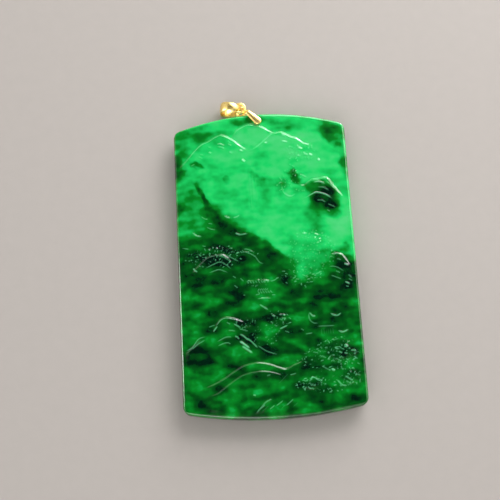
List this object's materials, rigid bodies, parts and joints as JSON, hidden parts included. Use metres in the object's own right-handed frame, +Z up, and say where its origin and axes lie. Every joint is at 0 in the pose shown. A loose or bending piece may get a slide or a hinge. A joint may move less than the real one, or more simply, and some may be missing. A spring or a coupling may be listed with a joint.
{
  "type": "jade pendant plaque",
  "caption": "Carved jade tablet pendant with a shallow mountain and river landscape, bowed ends and a gold pinch bail that swings about its hole.",
  "frame": {"origin": "under the middle of the whole pendant as it lies on its back, on the surface that it lies on", "axes": "+Y towards the top of the carved scene and the bail, +X to the scene's right, +Z up out of the carved face"},
  "size_m": [0.036, 0.0675, 0.0052],
  "materials": {
    "jade": "polished, translucent, mottled from bright to deep green",
    "gold": "polished 18 carat yellow gold"
  },
  "bodies": {
    "plaque": {"jade_plaque": "jade"},
    "bail": {"bail_front_leaf": "gold", "bail_back_leaf": "gold", "bail_ring": "gold"}
  },
  "joints": [
    {"name": "bail_swing", "type": "hinge", "parent": "plaque", "child": "bail", "pos_m": [-0.0002, 0.02833, 0.0026], "axis": [0, 0, 1], "range_deg": [-92, 4]}
  ]
}
